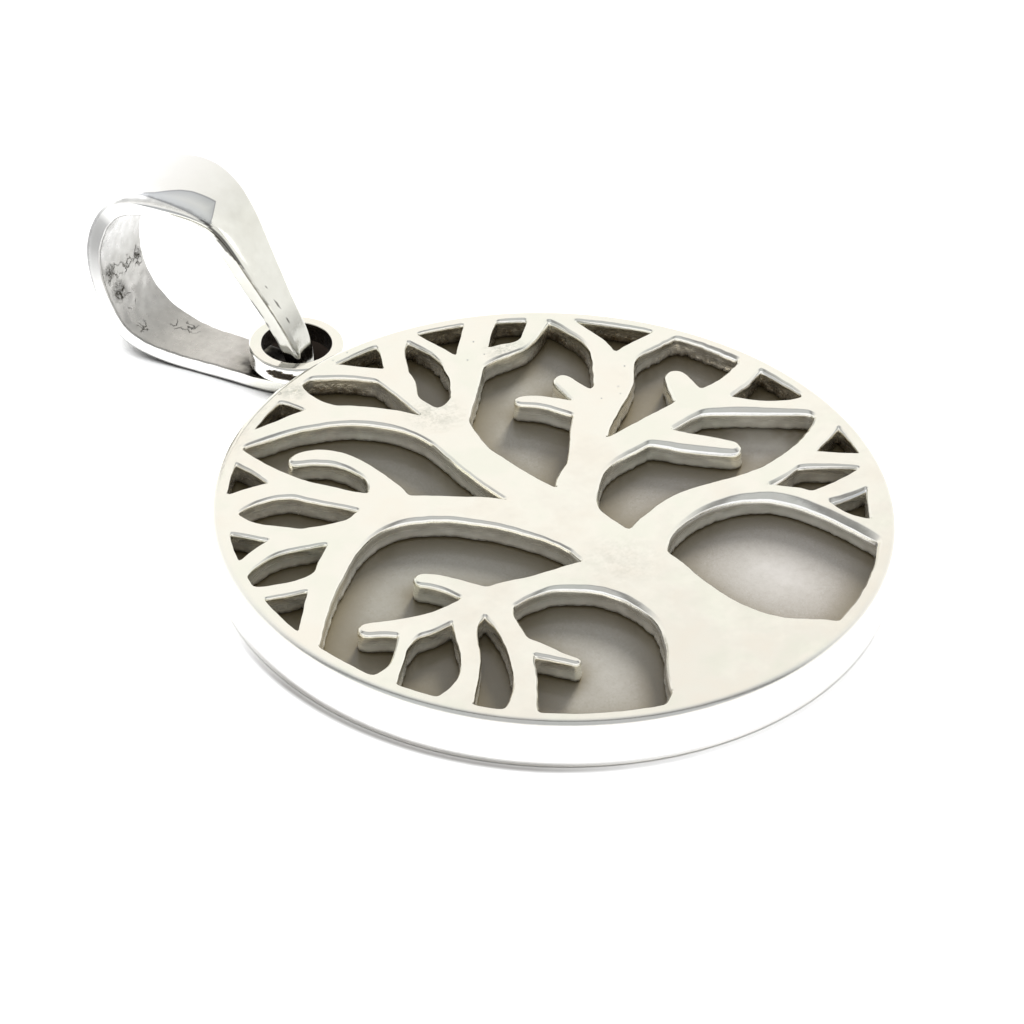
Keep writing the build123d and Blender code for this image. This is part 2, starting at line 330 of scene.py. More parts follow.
def inside(points, loops):
    """Even-odd test of points against all loops together."""
    odd = np.zeros(len(points), bool)
    for loop in loops:
        a = loop
        b = np.roll(loop, -1, 0)
        near = np.where(((points >= loop.min(0)) & (points <= loop.max(0))).all(1))[0]
        if not len(near):
            continue
        px = points[near, 0][:, None]
        py = points[near, 1][:, None]
        cross = (a[:, 1] > py) != (b[:, 1] > py)
        with np.errstate(divide="ignore", invalid="ignore"):
            x_at = a[:, 0] + (py - a[:, 1]) / (b[:, 1] - a[:, 1]) * (b[:, 0] - a[:, 0])
        odd[near] ^= (cross & (px < x_at)).sum(1) % 2 == 1
    return odd


def fill(loops, extra):
    """Triangles between an outer loop and its holes: 2-D points, triangles, new index of each old point."""
    points = [Vector(p) for loop in loops for p in loop]
    edges = []
    first = 0
    for loop in loops:
        n = len(loop)
        edges += [(first + i, first + (i + 1) % n) for i in range(n)]
        first += n
    points += [Vector(p) for p in extra]
    out = delaunay_2d_cdt(points, edges, [], 0, 1e-7, True)
    flat = np.array([tuple(p) for p in out[0]])
    triangles = np.array(out[2])
    new_index = {old: new for new, olds in enumerate(out[3]) for old in olds}
    return flat, triangles[inside(flat[triangles].mean(1), loops)], new_index


def close(verts, faces, rings, height, up, extra=()):
    """A face between an outer ring of vertices and holes in it, with extra points at their heights."""
    ids = [i for ring in rings for i in ring]
    loops = [np.array([verts[i][:2] for i in ring]) for ring in rings]
    flat, triangles, new_index = fill(loops, extra)
    real = {new: ids[old] for old, new in new_index.items() if old < len(ids)}
    for new, (x, y) in enumerate(flat):
        if new not in real:
            real[new] = len(verts)
            verts.append((x, y, height(x, y)))
    for triangle in triangles:
        a, b, c = (real[i] for i in triangle)
        if len({a, b, c}) == 3:
            faces.append((a, b, c) if up else (c, b, a))


def turn(verts, faces, profile):
    """Turns a profile of radius and height round the middle. Returns its first and its last ring."""
    angles = [2 * math.pi * i / RIM_POINTS for i in range(RIM_POINTS)]
    first = len(verts)
    for r, z in profile:
        verts += [(math.cos(a) * r, math.sin(a) * r, z) for a in angles]
    add_band(faces, first, RIM_POINTS, len(profile) - 1)
    last = len(verts) - RIM_POINTS
    return list(range(first, first + RIM_POINTS)), list(range(last, len(verts)))


def pitted(x, y):
    """Height of the plate's top, with its pits."""
    z = TOP_Z
    for across, up, radius, depth in PITS:
        d = math.hypot(x - across * DISC_R, y - up * DISC_R) / radius
        if d < 1:
            z -= depth * (1 - d * d) ** 2
    return z


def pit_points(rim, openings):
    """Extra points of the plate's top, only where it has pits, and clear of its edges."""
    spots = []
    for across, up, radius, _ in PITS:
        for ring, count in PIT_RINGS:
            for i in range(count):
                a = 2 * math.pi * (i + 0.5 * ring) / count
                spots.append((across * DISC_R + radius * ring * math.cos(a),
                              up * DISC_R + radius * ring * math.sin(a)))
    spots = np.array(spots)
    spots = spots[inside(spots, [rim] + openings)]
    clear = np.ones(len(spots), bool)
    for edge in openings + [rim]:
        d = np.hypot(spots[:, None, 0] - edge[None, :, 0], spots[:, None, 1] - edge[None, :, 1])
        clear &= d.min(1) > PIT_CLEARANCE
    return spots[clear]


def opening_rings(hole, room):
    """Rings of points from the plate's top down an opening's worn shoulder and rough wall.

    Returns the rings, the shoulder's shading normals and how worn the edge is at each point.
    """
    normal = loop_normals(hole)
    # The edge wavers a little, more where the wall is rough.
    rough = np.array([1.0 + amount_at(ROUGH_SPOTS, x, y) for x, y in hole])
    wave = np.array([0.035 * lump(x, y, 0, 0.9, 3.1) + 0.02 * much * lump(x, y, 0, 0.35, 7.7)
                     for (x, y), much in zip(hole, rough)])
    edge = hole + normal * wave[:, None]
    # It is a little worn everywhere, and more in the table's spots.
    worn = np.array([0.12 + 0.15 * lump(x, y, 0, 2.2, 1.7) + amount_at(WORN_SPOTS, x, y)
                     for x, y in hole]).clip(0, 1)
    rings = []
    leans = []
    for (in_little, in_much), (down_little, down_much), degrees in SHOULDER:
        off = (in_little + (in_much - in_little) * worn) * room
        z = TOP_Z - (down_little + (down_much - down_little) * worn)
        rings.append([(*p, h) for p, h in zip(edge + normal * off[:, None], z)])
        tilt = math.radians(degrees)
        leans.append([Vector((nx * math.sin(tilt), ny * math.sin(tilt), math.cos(tilt)))
                      for nx, ny in normal])
    lean = (0.06 + 0.22 * worn) * room
    fall = 0.20 + 0.26 * worn
    for k in range(1, WALL_STEPS + 1):
        share = k / WALL_STEPS
        ring = []
        for (x, y), (nx, ny), off, down, much in zip(edge, normal, lean, fall, rough):
            z = (TOP_Z - down) * (1 - share) + PLATE_Z * share
            bumps = 0.035 * lump(x, y, z * 1.6, 0.6, 5.0) + 0.05 * share * lump(x, y, z * 0.5, 0.25, 9.0)
            bumps = bumps * much * min(1.0, 2 * share) - 0.02 * (much - 1)
            ring.append((x + nx * (off + bumps), y + ny * (off + bumps), z))
        rings.append(ring)
    # The wall's foot is drawn back a little under the plate.
    low = np.array([p[:2] for p in rings[-1]]) - normal * 0.06
    rings.append([(x, y, PLATE_Z) for x, y in low])
    return rings, leans, worn


def wall_tones(x, y, z, dark, behind):
    """How dark a point of an opening's wall is painted, as tarnish with painted shade, and how little it
    mirrors.
    """
    # Painted shade: darker by the rim at the back. The tone comes in over 0.5 mm, from 0.25 mm below the top
    # on.
    rimward = clamp((math.hypot(x, y) - DISC_R + 3) / 2) * clamp(behind)
    deep = clamp((TOP_Z - 0.25 - z) / 0.5)
    here = clamp(dark + 0.5 * rimward + amount_at(WALL_TONES, x, y))
    return here * deep, 0.5 * deep * clamp((1.1 - here) / 0.45, 0.1)


def build_tree_frame():
    loops = sorted(top_loops(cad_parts["tree_frame"]), key=lambda p: -np.ptp(p[:, 0]))
    holes = [even(p, TRACE_STEP) for p in loops[1:] if np.ptp(p[:, 0]) > LEAST_OPENING]
    holes = [even(softened(p, CORNER_ROUND), EDGE_STEP) for p in holes]

    verts = []
    faces = []
    tarnish_and_shade = []
    cast = []
    lip = []
    top_rings = []
    low_rings = []
    set_normals = {}
    for hole in holes:
        n = len(hole)
        first = len(verts)
        width = math.sqrt(np.prod(np.ptp(hole, axis=0)))
        # Painted shade: narrow openings are painted darker, and so are those farther back, toward +X and +Y.
        behind = hole.mean(0).sum() / DISC_R
        dark = clamp(1.45 - width / 4.5, 0.25) * clamp(0.68 + 0.35 * behind, 0.5)
        rings, leans, worn = opening_rings(hole, min(1.0, width / 6))
        for i, v in enumerate(v for ring in leans for v in ring):
            set_normals[first + i] = v
        for j, ring in enumerate(rings):
            verts += ring
            lip += list((worn * 2.5).clip(0, 1)) if j in LIP_RINGS else [0.0] * n
            for x, y, z in ring:
                tones = wall_tones(x, y, z, dark, behind)
                tarnish_and_shade.append(tones[0])
                cast.append(tones[1])
        add_band(faces, first, n, len(rings) - 1, flip=True)
        top_rings.append(list(range(first, first + n)))
        low_rings.append(list(range(len(verts) - n, len(verts))))

    # The outside of the rim, from the back up to the top.
    profile = arc(RIM_R - BACK_ROUND, BACK_ROUND, BACK_ROUND, -90, 5)
    profile += [(RIM_R, BACK_ROUND + (TOP_Z - TOP_ROUND - BACK_ROUND) * k / 8) for k in range(1, 8)]
    profile += arc(RIM_R - TOP_ROUND, TOP_Z - TOP_ROUND, TOP_ROUND, 0, 10)
    back_ring, rim_top = turn(verts, faces, profile)
    # The pocket that the shell lies in, from the plate down to its floor.
    heights = (PLATE_Z, PLATE_Z - 0.35, BACK_T + 0.35, BACK_T)
    pocket_top, floor_ring = turn(verts, faces, [(POCKET_R, z) for z in heights])

    edges = [np.array([verts[i][:2] for i in ring]) for ring in [rim_top] + top_rings]
    close(verts, faces, [rim_top] + top_rings, pitted, True, pit_points(edges[0], edges[1:]))
    close(verts, faces, [pocket_top] + low_rings, lambda x, y: PLATE_Z, False)
    close(verts, faces, [floor_ring], lambda x, y: BACK_T, True)
    close(verts, faces, [back_ring], lambda x, y: 0.0, False)

    obj = new_object("silver_tree_frame", verts, faces)
    normals = [n.vector.copy() for n in obj.data.vertex_normals]
    for i, v in set_normals.items():
        normals[i] = v
    for ring in top_rings + [rim_top]:
        for i in ring:
            normals[i] = Vector((0, 0, 1))
    obj.data.normals_split_custom_set_from_vertices(normals)
    write_attribute(obj, "tarnish_and_shade", tarnish_and_shade)
    write_attribute(obj, "cast", cast)
    write_attribute(obj, "lip", lip)
    return obj


# The eye ring

def in_solder_gap(angle, r, z):
    """Whether a point is in the gap that the solder left in the ring's outer wall."""
    middle, half, height, half_height = SOLDER_GAP
    aside = (math.degrees(angle) - middle) / half
    return (r > EYE_OUTER_R - 0.02 and abs(aside) < 1
            and abs(z - height + 0.06 * aside) < half_height * math.sqrt(1 - aside ** 2))


def add_neck(verts, faces):
    """The soldered neck, wider where it flows on to the rim."""
    first = len(verts)
    start = DISC_R - NECK_IN_RIM
    end = EYE_Y - EYE_HOLE_R - NECK_IN_RING
    for j in range(NECK_ROWS + 1):
        share = j / NECK_ROWS
        half = NECK_HALF_WIDTH + NECK_FLARE * (1 - share) ** 3
        high = NECK_HALF_HEIGHT + NECK_HEIGHT_FLARE * (1 - share) ** 2
        y = start + (end - start) * share
        for i in range(NECK_POINTS):
            a = 2 * math.pi * i / NECK_POINTS
            c = math.copysign(abs(math.cos(a)) ** 0.5, math.cos(a))
            s = math.copysign(abs(math.sin(a)) ** 0.5, math.sin(a))
            bumps = 0.04 * lump(c, y, s, 0.5, 4.0)
            verts.append((c * half + bumps, y, (EYE_BOTTOM + EYE_TOP) / 2 + s * high))
    add_band(faces, first, NECK_POINTS, NECK_ROWS)
    faces.append(tuple(reversed(range(first, first + NECK_POINTS))))
    faces.append(tuple(range(len(verts) - NECK_POINTS, len(verts))))


def build_eye_ring():
    side = EYE_TOP - EYE_BOTTOM - 2 * EYE_ROUND
    profile = arc(EYE_OUTER_R - EYE_ROUND, EYE_BOTTOM + EYE_ROUND, EYE_ROUND, -90)
    profile += [(EYE_OUTER_R, EYE_BOTTOM + EYE_ROUND + side * k / 8) for k in range(1, 8)]
    profile += arc(EYE_OUTER_R - EYE_ROUND, EYE_TOP - EYE_ROUND, EYE_ROUND, 0)
    profile += arc(EYE_HOLE_R + EYE_HOLE_ROUND, EYE_TOP - EYE_HOLE_ROUND, EYE_HOLE_ROUND, 90)
    profile += arc(EYE_HOLE_R + EYE_LOW_ROUND, EYE_BOTTOM + EYE_LOW_ROUND, EYE_LOW_ROUND, 180)
    verts = []
    faces = []
    tarnish_and_shade = []
    for i in range(EYE_POINTS):
        angle = 2 * math.pi * i / EYE_POINTS
        c, s = math.cos(angle), math.sin(angle)
        for r, z in profile:
            x, y = c * r, EYE_Y + s * r
            hole_wall = r < EYE_HOLE_R + 0.5 * EYE_HOLE_ROUND and z < EYE_TOP - 0.5 * EYE_HOLE_ROUND
            # The hole's wall and the gap in the solder are painted black, as painted shade.
            tarnish_and_shade.append(2.0 if hole_wall or in_solder_gap(angle, r, z) else 0.0)
            swell = 0.012 * lump(x, y, z, 0.8, 2.0)
            verts.append((x + c * swell, y + s * swell, z))
    m = len(profile)
    for i in range(EYE_POINTS):
        i2 = (i + 1) % EYE_POINTS
        for k in range(m):
            k2 = (k + 1) % m
            faces.append((i * m + k, i2 * m + k, i2 * m + k2, i * m + k2))
    add_neck(verts, faces)
    obj = new_object("silver_eye_ring", verts, faces)
    write_attribute(obj, "tarnish_and_shade", tarnish_and_shade)
    return obj


# The bail

def natural_spline(rows):
    """A cubic through the rows at their chord lengths, with free ends."""
    p = np.array(rows, float)
    t = np.concatenate([[0], np.cumsum(np.sqrt((np.diff(p, axis=0) ** 2).sum(1)))])
    n = len(p)
    h = np.diff(t)
    system = np.zeros((n, n))
    right = np.zeros((n, p.shape[1]))
    system[0, 0] = system[-1, -1] = 1
    for i in range(1, n - 1):
        system[i, i - 1:i + 2] = h[i - 1], 2 * (h[i - 1] + h[i]), h[i]
        right[i] = 6 * ((p[i + 1] - p[i]) / h[i] - (p[i] - p[i - 1]) / h[i - 1])
    bend = np.linalg.solve(system, right)

    def at(u):
        i = int(clamp(np.searchsorted(t, u) - 1, 0, n - 2))
        a, b = (t[i + 1] - u) / h[i], (u - t[i]) / h[i]
        return (a * p[i] + b * p[i + 1]
                + ((a ** 3 - a) * bend[i] + (b ** 3 - b) * bend[i + 1]) * h[i] ** 2 / 6)

    return at, t[-1]


def bail_section(half):
    """Points round the strip's section: mm across, and mm deep from the outer face."""
    outer = min(BAIL_ROUND, half * 0.5)
    inner = BAIL_INNER_ROUND
    corners = [arc(half - outer, outer, outer, -90), arc(half - inner, BAIL_T - inner, inner, 0),
               arc(inner - half, BAIL_T - inner, inner, 90), arc(outer - half, outer, outer, 180)]
    points = []
    for i, steps in enumerate((BAIL_SIDE_STEPS, BAIL_FACE_STEPS) * 2):
        points += corners[i]
        (x0, y0), (x1, y1) = corners[i][-1], corners[(i + 1) % 4][0]
        shares = [k / steps for k in range(1, steps)]
        points += [(x0 + (x1 - x0) * share, y0 + (y1 - y0) * share) for share in shares]
    return points


def near_spot(spots, share, across):
    """How near a place of the bail is to the spots of a table: 1 in the middle of one."""
    return max(math.exp(-((share - at_share) / long) ** 2 - ((across - at_across) / wide) ** 2)
               for at_share, long, at_across, wide in spots)


def bail_facet(share, across, deep, half, length):
    """How far a point lies inside the grey reflection's outline, from -1 to 1 mm."""
    if deep >= OUTER_PART * BAIL_T:
        return -1.0
    # A bright band is left along the near edge, wider from where the reflection narrows.
    band = 0.10 + 4.5 * max(0.0, share - 0.29)
    return clamp(min(read_table(BAIL_FACET, share) - across, across + half - band,
                     (share - BAIL_FACET[0][0]) * length, (BAIL_FACET[-1][0] - share) * length), -1.0)


def bail_shade(share, across, deep, near_side, length):
    """How dark a point is painted: marks, and painted shade at the loop's left end and under the eye ring."""
    along = share * length
    crescent = 0.85 * (near_side and 0.03 < deep < 0.45 * BAIL_T * bell(share, 0.240, 0.035))
    line = 0.0
    if near_side and 0.03 < share < 0.2 and 0.02 < deep < 0.14:
        line = min(0.75, 0.45 + 0.6 * lump(along, 0, 0, 0.35, 2.5))
    dots = 0.8 * (deep < 0.02 and near_spot(BAIL_DOTS, share, across) > 0.5)
    dashes = 0.8 * (near_side and 0.04 < share < 0.17 and deep > 0.66
                    and lump(along, 5, 0, 0.45, 2.5) > 0.25)
    # Painted shade along the near edge at the loop's left end.
    outline = 0.55 * (near_side and deep < 0.12) * bell(share, 0.57, 0.06)
    # Painted shade where the strip lies under the eye ring.
    under_ring = share > (0.985 if near_side else 0.935)
    return min(1.0, max(crescent, line, dots, dashes) + outline + under_ring)


def bail_dim(share, across, half, near_side):
    """How bright the silver is painted at a point, as painted shade."""
    if near_side:
        return read_table(NEAR_SIDE_TONES, share) * (1 - 0.25 * bell(share, 0.51, 0.045))
    if across > SIDE_FROM * half:
        return FAR_SIDE_TONE
    return read_table(OUTER_FACE_TONES, share)


def bail_lean(share, across, deep, half):
    """How far the shading leans round toward the near edge of the outer face, in radians."""
    if deep >= 0.45 * BAIL_T:
        return 0.0
    return -math.radians(34 * clamp((share - 0.17) / 0.08)) * max(0.0, -across / half) ** 2.5


def build_bail():
    at, length = natural_spline([[share * BAIL_LENGTH for share in row] for row in BAIL_PROFILE])
    path = np.array([at(length * k / BAIL_ROWS) for k in range(BAIL_ROWS + 1)])
    run = np.gradient(path[:, :2], axis=0)
    run /= np.hypot(*run.T)[:, None]
    inward = np.column_stack([run[:, 1], -run[:, 0]])
    verts = []
    leans = []
    tones = {name: [] for name in ("tarnish_and_shade", "wrinkle", "facet", "shade", "along", "dim")}
    for k, ((x, y, half), (ix, iy)) in enumerate(zip(path, inward)):
        share = k / BAIL_ROWS
        half = max(half, LEAST_HALF)
        for across, deep in bail_section(half):
            within = deep > INNER_PART * BAIL_T
            # The strip is slightly uneven all over, and more so on its unpolished inside.
            px, py = x + ix * deep, y + iy * deep
            dent = 0.012 * (1.2 + lump(across, px, py, 0.9, 6.0))
            if within:
                dent += 0.035 * lump(across, px, py, 0.45, 8.0)
            verts.append((across, x + ix * (deep + dent), max(y + iy * (deep + dent), 0.0)))
            near_side = -across / half > SIDE_FROM
            leans.append(bail_lean(share, across, deep, half))
            tones["tarnish_and_shade"].append(within * near_spot(BAIL_STAINS, share, across))
            tones["wrinkle"].append(within * near_spot(BAIL_WRINKLES, share, across))
            tones["facet"].append(bail_facet(share, across, deep, half, length))
            tones["shade"].append(bail_shade(share, across, deep, near_side, length))
            tones["along"].append(share)
            tones["dim"].append(bail_dim(share, across, half, near_side))
    depths = [deep for _, deep in bail_section(half)]
    m = len(depths)
    faces = []
    add_band(faces, 0, m, BAIL_ROWS, flip=True)
    faces.append(tuple(range(m)))
    faces.append(tuple(reversed(range(len(verts) - m, len(verts)))))
    turned = math.radians(BAIL_TURN)
    c, s = math.cos(turned), math.sin(turned)
    placed = [(BAIL_SHIFT + x * c - y * s, EYE_Y + x * s + y * c, z) for x, y, z in verts]
    obj = new_object("silver_bail", placed, faces)
    for name, values in tones.items():
        write_attribute(obj, name, values)
    # The second material is for the inner face. The two end faces keep the first.
    inner = [min(depths[i], depths[(i + 1) % m]) > INNER_FACE * BAIL_T for i in range(m)]
    obj.data.polygons.foreach_set("material_index", [int(i) for i in inner * BAIL_ROWS] + [0, 0])
    # The outer face is polished round toward its edges, which only its shading shows.
    sideways = Vector((c, s, 0))
    normals = [(n.vector * math.cos(t) + sideways * math.sin(t)).normalized()
               for n, t in zip(obj.data.vertex_normals, leans)]
    obj.data.normals_split_custom_set_from_vertices(normals)
    return obj


# Materials

class Nodes:
    """A short way to write the node tree of a material or a world."""

    def __init__(self, owner, coordinates="Object"):
        owner.use_nodes = True
        self.owner = owner
        self.tree = owner.node_tree
        self.coord = self.add("ShaderNodeTexCoord").outputs[coordinates]

    def put(self, value, socket):
        """Links a socket, or sets a number or a colour on the input itself."""
        if isinstance(value, bpy.types.NodeSocket):
            self.tree.links.new(value, socket)
        elif isinstance(value, tuple) and len(socket.default_value) == 4:
            socket.default_value = (*value, 1)
        else:
            socket.default_value = value

    def add(self, kind, **values):
        node = self.tree.nodes.new(kind)
        for key, value in values.items():
            if key in node.inputs:
                self.put(value, node.inputs[key])
            else:
                setattr(node, key, value)
        return node

    def finish(self, **values):
        """Puts values into the material's shader, a name's words joined by `_`. Returns the material."""
        shader = self.tree.nodes["Principled BSDF"]
        for key, value in values.items():
            self.put(value, shader.inputs[key.replace("_", " ")])
        return self.owner

    def attribute(self, name):
        return self.add("ShaderNodeAttribute", attribute_name=name).outputs["Fac"]

    def split(self, vector):
        return self.add("ShaderNodeSeparateXYZ", Vector=vector).outputs

    def vector(self, operation, other=(0.0, 0.0, 0.0)):
        """A length, a distance or a dot product of the place, in metres."""
        node = self.add("ShaderNodeVectorMath", operation=operation)
        self.put(self.coord, node.inputs[0])
        self.put(other, node.inputs[1])
        return node.outputs["Value"]

    def reach(self, x, y, z, size):
        """Distance from a point given in mm, as a share of `size` mm."""
        return self.math("MULTIPLY", self.vector("DISTANCE", (x * MM, y * MM, z * MM)), 1 / (size * MM))

    def noise(self, size, detail=3.0, rough=0.6):
        """Noise whose lumps are about `size` mm across, from 0 to 1."""
        node = self.add("ShaderNodeTexNoise", Vector=self.coord, Scale=1 / (size * MM), Detail=detail,
                        Roughness=rough)
        return node.outputs["Fac"]

    def ramp(self, value, *stops):
        """A colour or a grey for each position, blended between."""
        node = self.add("ShaderNodeValToRGB", Fac=value)
        band = node.color_ramp.elements
        while len(band) < len(stops):
            band.new(0.5)
        for stop, (position, tone) in zip(band, stops):
            stop.position = position
            stop.color = (*tone, 1) if isinstance(tone, tuple) else (tone, tone, tone, 1)
        return node.outputs["Color"]

    def mix(self, share, a, b, blend="MIX"):
        node = self.add("ShaderNodeMix", data_type="RGBA", blend_type=blend)
        for value, socket in ((share, 0), (a, 6), (b, 7)):
            self.put(value, node.inputs[socket])
        return node.outputs[2]

    def math(self, operation, *values):
        node = self.add("ShaderNodeMath", operation=operation)
        for value, socket in zip(values, node.inputs):
            self.put(value, socket)
        return node.outputs[0]

    def bump(self, height, distance, under=None):
        node = self.add("ShaderNodeBump", Height=height, Distance=distance * MM)
        if under:
            self.put(under, node.inputs["Normal"])
        return node.outputs["Normal"]


def silver_material():
    n = Nodes(bpy.data.materials.new("silver"))
    upright = n.split(n.add("ShaderNodeNewGeometry").outputs["Normal"])["Z"]
    side = n.math("SUBTRACT", 1.0, n.math("ABSOLUTE", upright))
    tarnish_and_shade = n.attribute("tarnish_and_shade")
    # Painted reflection: the colour of the polished silver is painted with the cloud of a studio that it
    # mirrors, and painted a little lighter toward the bail.
    cloud = n.math("ADD", n.noise(1.6, 4.0, 0.62), n.noise(6.0, 2.0, 0.5))
    cloud = n.math("MULTIPLY_ADD", n.split(n.coord)["Y"], 0.035 / MM, cloud)
    tone = n.ramp(cloud, (0.55, (0.885, 0.855, 0.77)), (1.0, (0.96, 0.935, 0.845)))
    tint = n.ramp(n.noise(3.0), (0.35, (1.0, 0.985, 0.975)), (0.5, 1.0), (0.65, (0.965, 0.985, 0.97)))
    tone = n.mix(1.0, tone, tint, "MULTIPLY")
    # Places where the plate's top stayed a little rough and took a greenish grey skin.
    for across, up, size, much in PLATE_SKIN:
        near = n.ramp(n.reach(across * DISC_R, up * DISC_R, TOP_Z, size), (0.2, much), (1.0, 0.0))
        patchy = n.ramp(n.noise(0.45, 4.0, 0.75), (0.40, 0.0), (0.62, 1.0))
        tone = n.mix(n.math("MULTIPLY", near, patchy), tone, (0.52, 0.53, 0.46))
    # Painted light: the outside of the rim is painted brighter. The worn lip of an opening is brighter too.
    outer = n.math("GREATER_THAN", n.vector("LENGTH"), (DISC_R - 0.12) * MM)
    tone = n.mix(n.math("MULTIPLY", outer, side), tone, (0.985, 0.98, 0.965))
    tone = n.mix(n.attribute("lip"), tone, (1.0, 1.0, 0.99))
    # Tarnish and painted shade up to 1, then up to 2 the painted black of shade on the eye hole's wall and in
    # the solder's gap.
    streak = n.ramp(n.noise(0.35, 4.0, 0.7), (0.25, 0.35), (0.65, 1.0))
    tone = n.mix(n.math("MINIMUM", n.math("MULTIPLY", tarnish_and_shade, streak), 1.0), tone, (0.26, 0.20, 0.12))
    tone = n.mix(n.math("MAXIMUM", n.math("SUBTRACT", tarnish_and_shade, 1.0), 0.0), tone, (0.03, 0.024, 0.018))
    rough = n.math("MULTIPLY_ADD", tarnish_and_shade, 0.45, n.noise(0.5))
    coarse = n.bump(n.noise(0.9, 2.0, 0.5), 0.010)
    fine = n.bump(n.noise(0.10, 2.0), 0.0025, under=coarse)
    sawn = n.math("MULTIPLY", n.math("MULTIPLY", side, tarnish_and_shade), n.noise(0.22, 3.0, 0.7))
    return n.finish(Base_Color=tone, Metallic=n.math("SUBTRACT", 1.0, n.attribute("cast")),
                    Roughness=n.ramp(rough, (0.3, 0.09), (1.0, 0.32)),
                    Normal=n.bump(sawn, 0.08, under=fine))


def bail_material():
    n = Nodes(bpy.data.materials.new("bail silver"))
    tone = n.ramp(n.noise(1.2, 4.0), (0.3, (0.78, 0.77, 0.70)), (0.65, (0.85, 0.845, 0.78)))
    # The middle of the loop is brighter than its two ends.
    bright_middle = n.ramp(n.attribute("along"), (0.26, 0.0), (0.38, 1.0), (0.90, 1.0), (0.93, 0.0))
    tone = n.mix(bright_middle, tone, (0.975, 0.97, 0.95))
    tone = n.mix(1.0, tone, n.attribute("dim"), "MULTIPLY")
    # The grey reflection has a dark outline and pales inward.
    inwards = n.math("MULTIPLY_ADD", n.attribute("facet"), 0.5, 0.5)
    grey = n.ramp(inwards, (0.47, 1.0), (0.51, (0.36, 0.37, 0.40)), (0.56, (0.56, 0.58, 0.62)),
                  (0.80, (0.70, 0.72, 0.75)), (1.0, (0.80, 0.81, 0.83)))
    tone = n.mix(n.attribute("shade"), n.mix(1.0, tone, grey, "MULTIPLY"), DARK)
    coarse = n.bump(n.noise(1.3, 2.0, 0.5), 0.012)
    return n.finish(Base_Color=tone, Metallic=1.0,
                    Roughness=n.ramp(n.noise(0.4), (0.3, 0.08), (0.8, 0.20)),
                    Normal=n.bump(n.noise(0.12, 2.0), 0.002, under=coarse))


def bail_inside_material():
    n = Nodes(bpy.data.materials.new("unpolished silver"))
    along = n.math("ADD", n.attribute("along"), n.math("MULTIPLY_ADD", n.noise(1.2), 0.06, -0.03))
    # Painted shade: the inside is painted black at the tongue's tip and where it runs under the eye ring.
    tone = n.ramp(along, (0.03, DARK), (0.06, (0.60, 0.595, 0.58)), (0.50, (0.60, 0.595, 0.58)),
                  (0.56, (0.50, 0.495, 0.48)), (0.60, (0.35, 0.345, 0.325)), (0.66, (0.46, 0.45, 0.43)),
                  (0.70, (0.49, 0.48, 0.455)), (0.74, (0.44, 0.43, 0.405)), (0.80, (0.60, 0.58, 0.54)),
                  (0.85, (0.70, 0.675, 0.63)), (0.872, (0.64, 0.61, 0.57)), (0.893, (0.50, 0.475, 0.43)),
                  (0.912, DARK))
    tone = n.mix(n.ramp(n.noise(0.5, 4.0, 0.65), (0.4, 0.0), (0.8, 0.35)), tone, (0.25, 0.24, 0.22))
    patchy = n.ramp(n.noise(0.30, 4.0, 0.75), (0.42, 0.0), (0.58, 1.0))
    patch = n.math("MULTIPLY", n.attribute("tarnish_and_shade"), patchy)
    tone = n.mix(n.ramp(patch, (0.25, 0.0), (0.45, 1.0)), tone, (0.05, 0.045, 0.035))
    # Creases are thin bands of a noise, only where the inside is wrinkled.
    crease = n.ramp(n.noise(0.55, 2.0, 0.5), (0.465, 0.0), (0.495, 1.0), (0.525, 0.0))
    crease = n.math("MULTIPLY", crease, n.ramp(n.attribute("wrinkle"), (0.3, 0.0), (0.6, 1.0)))
    tone = n.mix(n.math("MULTIPLY", crease, 0.65), tone, (0.10, 0.09, 0.07))
    coarse = n.bump(n.noise(0.7), 0.03)
    return n.finish(Base_Color=tone, Metallic=1.0,
                    Roughness=n.ramp(n.noise(0.4), (0.3, 0.24), (0.8, 0.42)),
                    Normal=n.bump(n.math("ADD", patch, crease), 0.10, under=coarse))


def shell_material():
    n = Nodes(bpy.data.materials.new("mother of pearl"))
    place = n.split(n.coord)
    # Painted light: the shell is painted lighter toward +X and -Y.
    across = n.math("MULTIPLY_ADD", n.math("SUBTRACT", place["X"], place["Y"]), 0.03 / MM, 0.5)
    across = n.math("ADD", across, n.math("MULTIPLY_ADD", n.noise(5.0, 3.0, 0.5), 0.6, -0.3))
    tone = n.ramp(across, (0.0, (0.33, 0.33, 0.30)), (0.45, (0.40, 0.39, 0.35)),
                  (0.75, (0.43, 0.41, 0.38)), (1.0, (0.455, 0.43, 0.40)))
    tone = n.mix(n.ramp(n.noise(0.35, 4.0, 0.65), (0.45, 0.0), (0.75, 0.22)), tone, (0.24, 0.22, 0.18))
    # Painted shade and painted reflection: it is painted dark brown toward the walls, which shade it and
    # which it mirrors.
    near = n.add("ShaderNodeAmbientOcclusion", samples=8, Distance=3.5 * MM).outputs["AO"]
    near = n.ramp(near, (0.45, 0.95), (0.76, 0.80), (0.88, 0.62), (0.945, 0.16), (0.985, 0.0))
    tone = n.mix(near, tone, (0.100, 0.076, 0.032))
    # Painted reflections: paler patches of the shell.
    for across, up, size, much in SHELL_GLEAM:
        reach = n.reach(across * DISC_R, up * DISC_R, PLATE_Z - 0.1, size)
        reach = n.math("ADD", reach, n.math("MULTIPLY_ADD", n.noise(0.8, 2.0, 0.5), 0.8, -0.4))
        tone = n.mix(n.ramp(reach, (0.35, much), (1.0, 0.0)), tone, (0.80, 0.76, 0.68))
    return n.finish(Base_Color=tone, Roughness=0.30, Coat_Weight=0.35, Coat_Roughness=0.06,
                    Normal=n.bump(n.noise(1.4, 2.0, 0.5), 0.02))


